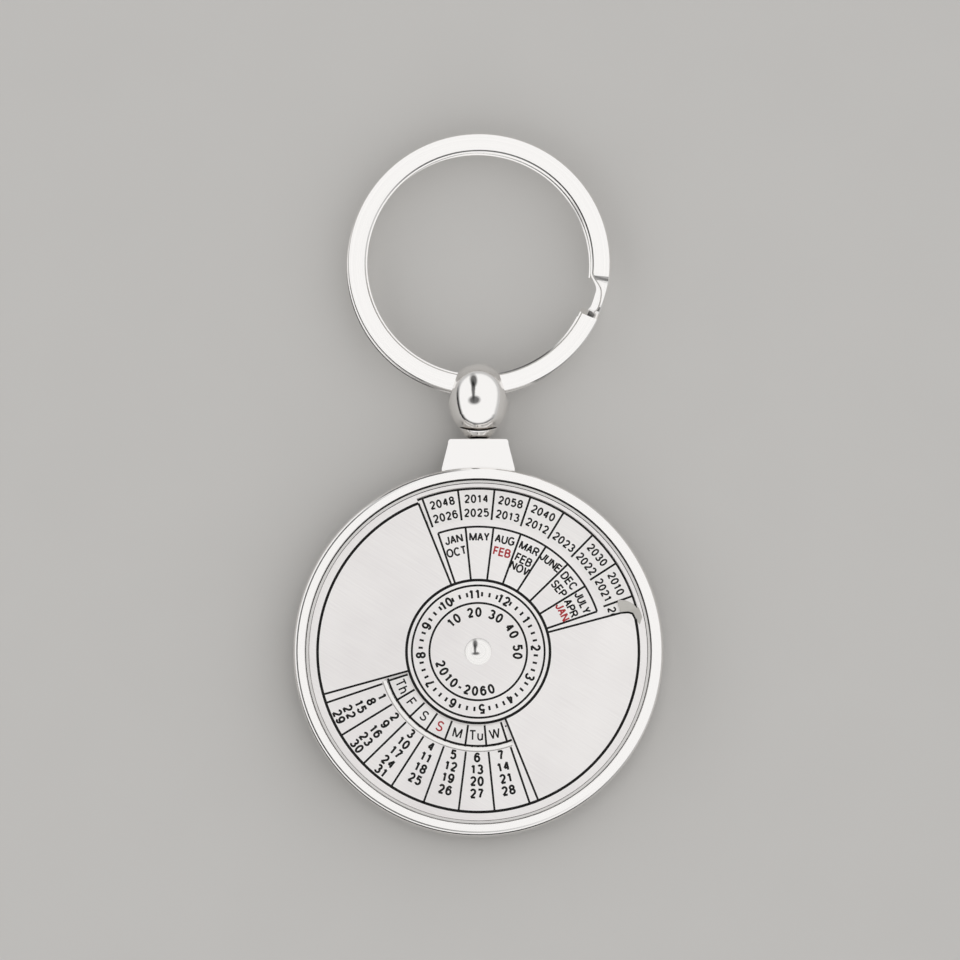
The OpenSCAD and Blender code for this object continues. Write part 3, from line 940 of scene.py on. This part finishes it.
class KEYRING_OT_finger_tab(bpy.types.Operator):
    """Dull the face of the finger tab and grey it with painted shade, with a trail along the rim"""

    bl_idname = "keyring.finger_tab"
    bl_label = "Finger tab"

    def slab(self, mesh, low, high):
        """Close two outlines of matching points into a thin slab."""
        under = [mesh.verts.new(point) for point in low]
        over = [mesh.verts.new(point) for point in high]
        mesh.faces.new(under)
        mesh.faces.new(over)
        for place in range(len(under)):
            nxt = (place + 1) % len(under)
            mesh.faces.new((under[place], under[nxt], over[nxt], over[place]))

    def bent(self, along, out, height):
        """Point of the bent tab, from millimetres along the rim, outwards and up its thickness."""
        tilt = math.radians(TAB_TILT)
        up = on_clock(1, TAB_CLOCK)
        right = Vector((up.y, -up.x))
        shifted = along * math.cos(tilt) + height * math.sin(tilt)
        flat = up * (TAB_FOOT + out) + right * shifted
        rise = height * math.cos(tilt) - along * math.sin(tilt)
        return (*(flat * MM), DIAL_BACK + rise * MM)

    def execute(self, context):
        mesh = bmesh.new()
        turn = math.acos(-TAB_SET / TAB_RADIUS)
        outline = [(0.0, 0.0)]
        for step in range(TAB_STEPS + 1):
            angle = math.pi - (math.pi - turn) * step / TAB_STEPS
            outline.append((TAB_SET + TAB_RADIUS * math.cos(angle), TAB_RADIUS * math.sin(angle)))
        face = DIAL_THICKNESS / MM
        self.slab(
            mesh, [self.bent(*point, face) for point in outline],
            [self.bent(*point, face + TAB_SHADE_HEIGHT) for point in outline])
        # Painted shade trails from the tab along the rim
        trail = [on_clock(radius * MM, TAB_CLOCK + after) for after, radius in TAB_TRAIL]
        self.slab(
            mesh, [(*point, DIAL_FACE) for point in trail],
            [(*point, DIAL_FACE + TAB_SHADE_HEIGHT * MM) for point in trail])
        as_piece(mesh, "finger_tab_face", rubbed_nickel(), "dial")
        return {"FINISHED"}


class KEYRING_OT_stage(bpy.types.Operator):
    """Lay the floor, light it softly and set the camera above it"""

    bl_idname = "keyring.stage"
    bl_label = "Stage"

    def floor(self, setting):
        """Plain matt floor just under the lowest point of the keyring."""
        low = CAD_BOX[0].z - FLOOR_GAP
        sides = ((-1, -1), (1, -1), (1, 1), (-1, 1))
        corners = [(x * FLOOR_HALF, y * FLOOR_HALF, low) for x, y in sides]
        data = bpy.data.meshes.new("floor")
        data.from_pydata(corners, [], [(0, 1, 2, 3)])
        data.materials.append(matt_painted_board(setting.floor))
        board = bpy.data.objects.new("floor", data)
        bpy.context.scene.collection.objects.link(board)

    def light(self, scene):
        """Soft white sky, darker at one side's horizon and where a stand hangs over the table."""
        world = bpy.data.worlds.new("studio")
        world.use_nodes = True
        tree = world.node_tree
        tree.nodes.clear()
        place = add(tree, "ShaderNodeTexCoord", {}).outputs["Generated"]
        height = add(tree, "ShaderNodeSeparateXYZ", {"Vector": place}).outputs["Z"]
        side = add(tree, "ShaderNodeVectorMath", {0: place, 1: DARK_SIDE}, operation="DOT_PRODUCT")
        horizon = add(tree, "ShaderNodeMapRange", {
            "Value": side.outputs["Value"], "From Min": SIDE_FADE[0], "From Max": SIDE_FADE[1],
            "To Min": HORIZON_PALE, "To Max": HORIZON_DARK}, interpolation_type="SMOOTHSTEP")
        low, high = (math.sin(math.radians(degrees)) for degrees in HORIZON_BAND)
        rise = add(tree, "ShaderNodeMapRange", {
            "Value": height, "From Min": low, "From Max": high}, interpolation_type="SMOOTHSTEP")
        open_light = add(tree, "ShaderNodeMix", {
            0: rise.outputs["Result"], 2: horizon.outputs["Result"], 3: 1.0}, data_type="FLOAT")
        strength = open_light.outputs[0]
        for middle, stretch in DARK_STAND:
            offset = add(tree, "ShaderNodeVectorMath", {0: place, 1: middle}, operation="SUBTRACT")
            scaled = add(tree, "ShaderNodeVectorMath", {
                0: offset.outputs["Vector"], 1: stretch}, operation="DIVIDE")
            reach = add(tree, "ShaderNodeVectorMath", {
                0: scaled.outputs["Vector"]}, operation="LENGTH")
            open_sky = add(tree, "ShaderNodeMapRange", {
                "Value": reach.outputs["Value"], "From Min": STAND_CORE, "To Min": STAND_TONE})
            both = add(tree, "ShaderNodeMath", {
                0: strength, 1: open_sky.outputs["Result"]}, operation="MULTIPLY")
            strength = both.outputs["Value"]
        sky = add(tree, "ShaderNodeBackground", {"Color": linear("#FFFFFF"), "Strength": strength})
        add(tree, "ShaderNodeOutputWorld", {"Surface": sky.outputs["Background"]})
        scene.world = world

    def camera(self, scene, setting):
        """Long lens, almost straight above the dial."""
        lens = bpy.data.cameras.new("camera")
        lens.sensor_width = SENSOR_WIDTH
        lens.lens = lens.sensor_width * setting.distance / setting.field
        lens.clip_start, lens.clip_end = CLIP
        back = Vector((0, -math.cos(setting.elevation), math.sin(setting.elevation)))
        holder = bpy.data.objects.new("camera", lens)
        holder.location = Vector(setting.aim) + back * setting.distance
        holder.rotation_mode = "QUATERNION"
        holder.rotation_quaternion = (-back).to_track_quat("-Z", "Y")
        scene.collection.objects.link(holder)
        scene.camera = holder

    def execute(self, context):
        scene = context.scene
        self.floor(scene.stage_setting)
        self.light(scene)
        self.camera(scene, scene.stage_setting)
        scene.view_settings.view_transform = "Standard"
        return {"FINISHED"}


STEPS = (
    KEYRING_OT_case,
    KEYRING_OT_plates,
    KEYRING_OT_swivel,
    KEYRING_OT_ring,
    KEYRING_OT_year_print,
    KEYRING_OT_dial_print,
    KEYRING_OT_dial_edges,
    KEYRING_OT_finger_tab,
    KEYRING_OT_stage,
)


class KEYRING_PT_panel(bpy.types.Panel):
    """Steps and settings of the keyring"""

    bl_idname = "KEYRING_PT_panel"
    bl_label = "Calendar keyring"
    bl_space_type = "VIEW_3D"
    bl_region_type = "UI"
    bl_category = "Keyring"

    def draw(self, context):
        layout = self.layout
        for step in STEPS:
            layout.operator(step.bl_idname)
        scene = context.scene
        for group in (scene.calendar_print, scene.metal_finish, scene.stage_setting):
            box = layout.box()
            for name in group.__annotations__:
                box.prop(group, name)


CLASSES = (CalendarPrint, MetalFinish, StageSetting, *STEPS, KEYRING_PT_panel)


def register():
    """Register the classes and hang their settings on the scene."""
    for item in CLASSES:
        bpy.utils.register_class(item)
    bpy.types.Scene.calendar_print = bpy.props.PointerProperty(type=CalendarPrint)
    bpy.types.Scene.metal_finish = bpy.props.PointerProperty(type=MetalFinish)
    bpy.types.Scene.stage_setting = bpy.props.PointerProperty(type=StageSetting)


def unregister():
    """Undo what register did."""
    del bpy.types.Scene.stage_setting
    del bpy.types.Scene.metal_finish
    del bpy.types.Scene.calendar_print
    for item in reversed(CLASSES):
        bpy.utils.unregister_class(item)


def main():
    """Build every piece in order."""
    register()
    bpy.ops.keyring.case()
    bpy.ops.keyring.plates()
    bpy.ops.keyring.swivel()
    bpy.ops.keyring.ring()
    bpy.ops.keyring.year_print()
    bpy.ops.keyring.dial_print()
    bpy.ops.keyring.dial_edges()
    bpy.ops.keyring.finger_tab()
    bpy.ops.keyring.stage()


if __name__ == "__main__":
    main()
